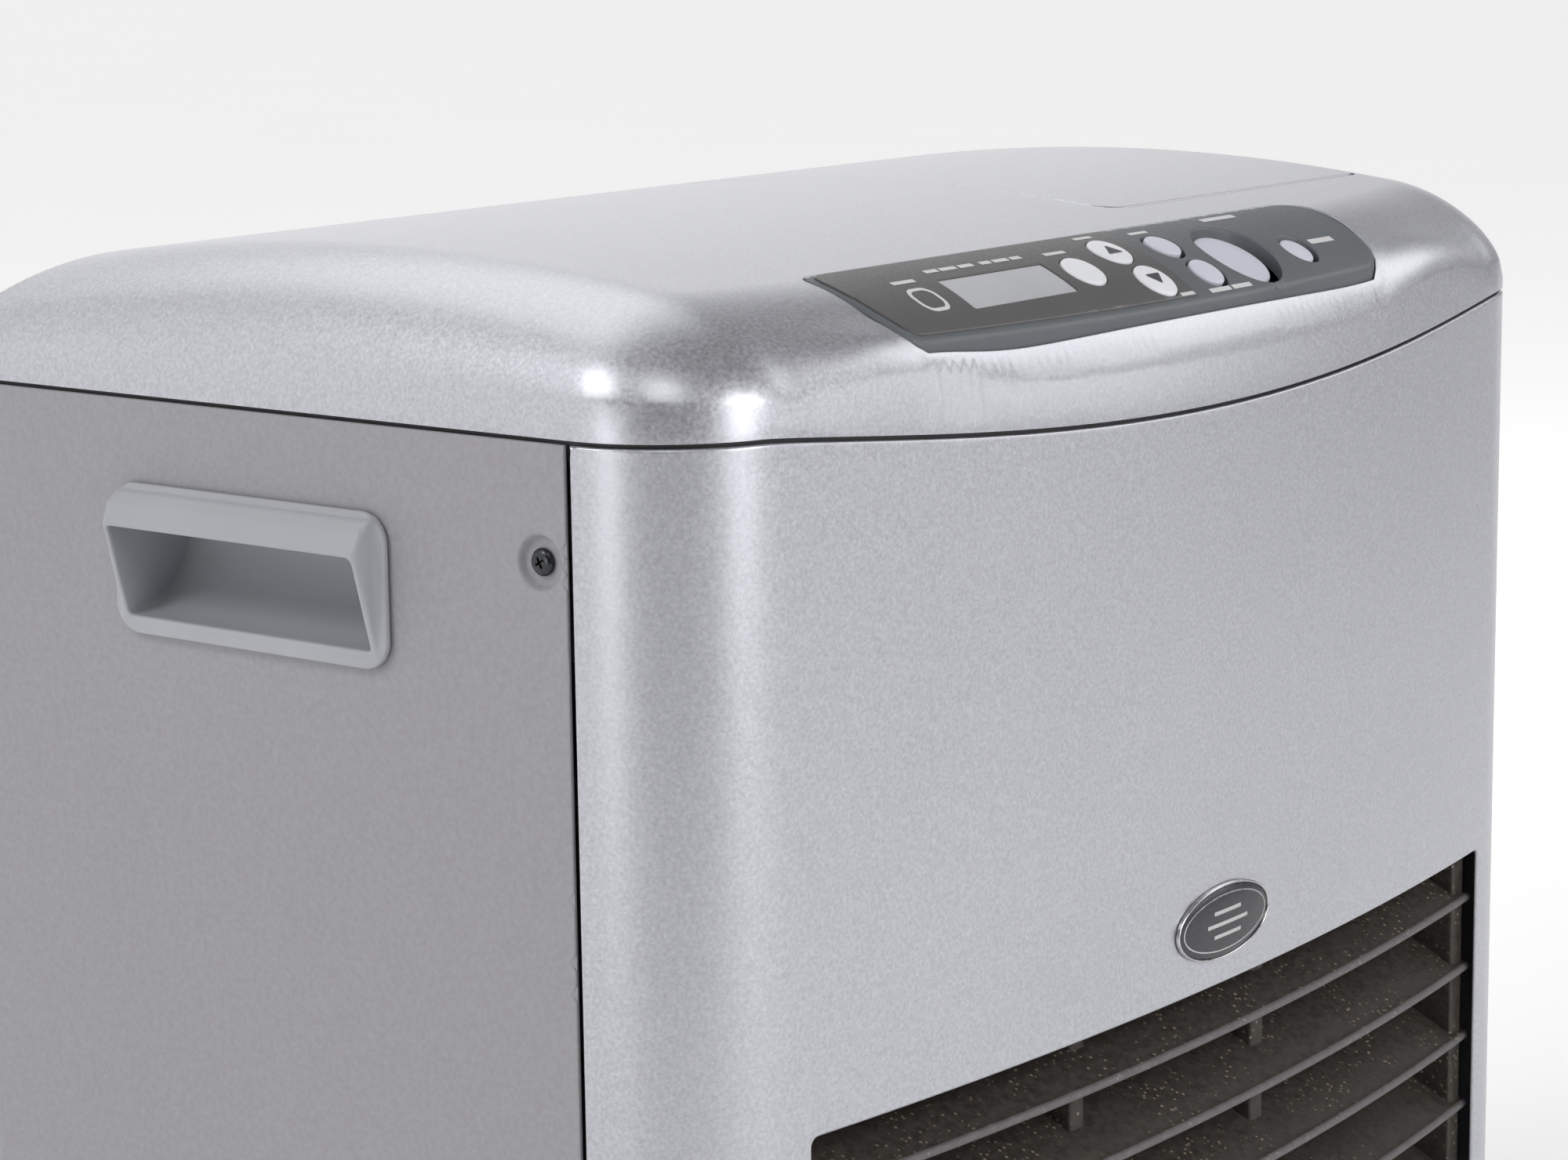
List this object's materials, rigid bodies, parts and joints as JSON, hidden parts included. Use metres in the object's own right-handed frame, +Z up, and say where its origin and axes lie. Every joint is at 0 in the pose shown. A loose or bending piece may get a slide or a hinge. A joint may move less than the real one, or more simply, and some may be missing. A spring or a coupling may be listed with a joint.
{
  "type": "paraffin fan heater",
  "caption": "Portable fan-forced paraffin room heater with a bowed front, crowned top with tank lid and control panel, side handles and louvred warm-air outlet.",
  "frame": {"origin": "centre of the overall box, on the floor", "axes": "+Z up, the bowed front faces -Y, +X is on the right seen from the front"},
  "size_m": [0.45, 0.31, 0.4353],
  "materials": {
    "silver": "satin metallic paint",
    "silver_plastic": "satin metallic paint on plastic",
    "grey_sheet": "matt powder coat",
    "handle_grey": "satin",
    "dark_plastic": "satin",
    "film": "gloss",
    "lcd": "gloss",
    "buttons": "satin",
    "grille": "matt heat paint",
    "steel": "plain",
    "heat_steel": "heat tinted",
    "black_plastic": "matt",
    "rubber": "matt",
    "board": "satin",
    "brass": "plain",
    "ceramic": "matt",
    "screw": "black zinc"
  },
  "bodies": {
    "cabinet": {"base_tray": "dark_plastic", "chassis_plate": "steel", "foot_front_left": "rubber", "foot_front_right": "rubber", "foot_rear_left": "rubber", "foot_rear_right": "rubber", "left_side_panel": "grey_sheet", "right_side_panel": "grey_sheet", "rear_panel": "grey_sheet", "front_panel": "silver", "top_cover": "silver_plastic", "lid_hinge_rod": "steel", "control_bezel": "dark_plastic", "display_fascia": "film", "lcd_window": "lcd", "control_board": "board", "left_handle": "handle_grey", "right_handle": "handle_grey", "badge": "film", "outlet_grille": "grille", "outlet_duct": "heat_steel", "heat_shield": "steel", "combustion_chamber": "heat_steel", "burner_pot": "heat_steel", "igniter": "ceramic", "flame_rod": "steel", "combustion_air_duct": "steel", "blower_housing": "steel", "blower_motor": "steel", "fan_motor": "steel", "fan_guard": "black_plastic", "fuel_tank": "steel", "tank_cap": "brass", "tank_grip": "steel", "fuel_sump": "steel", "fuel_strainer": "brass", "fuel_pump": "brass", "fuel_pipe": "brass", "main_board": "board", "transformer": "black_plastic", "tilt_switch": "black_plastic", "cord_gland": "black_plastic", "room_sensor": "black_plastic", "side_screw_left_upper": "screw", "side_screw_left_lower": "screw", "side_screw_right_upper": "screw", "side_screw_right_lower": "screw", "rear_screw_left": "screw", "rear_screw_right": "screw"},
    "lid": {"tank_lid": "silver_plastic"},
    "room_fan": {"fan_rotor": "dark_plastic"},
    "burner_blower": {"blower_wheel": "black_plastic"},
    "mode_key": {"mode_button": "buttons"},
    "up_key": {"up_button": "buttons"},
    "down_key": {"down_button": "buttons"},
    "timer_key": {"timer_button": "buttons"},
    "lock_key": {"lock_button": "buttons"},
    "power_key": {"power_button": "buttons"},
    "economy_key": {"economy_button": "buttons"}
  },
  "joints": [
    {"name": "lid_hinge", "type": "hinge", "parent": "cabinet", "child": "lid", "pos_m": [0.1125, 0.089, 0.42264], "axis": [-1, 0, 0], "range_deg": [0, 80]},
    {"name": "room_fan_spin", "type": "hinge", "parent": "cabinet", "child": "room_fan", "pos_m": [-0.085, 0.1, 0.2], "axis": [0, 1, 0], "continuous": true},
    {"name": "burner_blower_spin", "type": "hinge", "parent": "cabinet", "child": "burner_blower", "pos_m": [-0.085, 0.06, 0.08], "axis": [0, 0, 1], "continuous": true},
    {"name": "mode_press", "type": "slide", "parent": "cabinet", "child": "mode_key", "axis": [0, 0.4619, -0.8869], "range_m": [0, 0.001], "stiffness_N_per_m": 250, "springref_m": -0.001},
    {"name": "up_press", "type": "slide", "parent": "cabinet", "child": "up_key", "axis": [0, 0.3875, -0.9219], "range_m": [0, 0.001], "stiffness_N_per_m": 250, "springref_m": -0.001},
    {"name": "down_press", "type": "slide", "parent": "cabinet", "child": "down_key", "axis": [0, 0.5394, -0.842], "range_m": [0, 0.001], "stiffness_N_per_m": 250, "springref_m": -0.001},
    {"name": "timer_press", "type": "slide", "parent": "cabinet", "child": "timer_key", "axis": [0, 0.3925, -0.9197], "range_m": [0, 0.001], "stiffness_N_per_m": 250, "springref_m": -0.001},
    {"name": "lock_press", "type": "slide", "parent": "cabinet", "child": "lock_key", "axis": [0, 0.5356, -0.8445], "range_m": [0, 0.001], "stiffness_N_per_m": 250, "springref_m": -0.001},
    {"name": "power_press", "type": "slide", "parent": "cabinet", "child": "power_key", "axis": [0, 0.4753, -0.8798], "range_m": [0, 0.001], "stiffness_N_per_m": 250, "springref_m": -0.001},
    {"name": "economy_press", "type": "slide", "parent": "cabinet", "child": "economy_key", "axis": [0, 0.5074, -0.8617], "range_m": [0, 0.001], "stiffness_N_per_m": 250, "springref_m": -0.001}
  ]
}
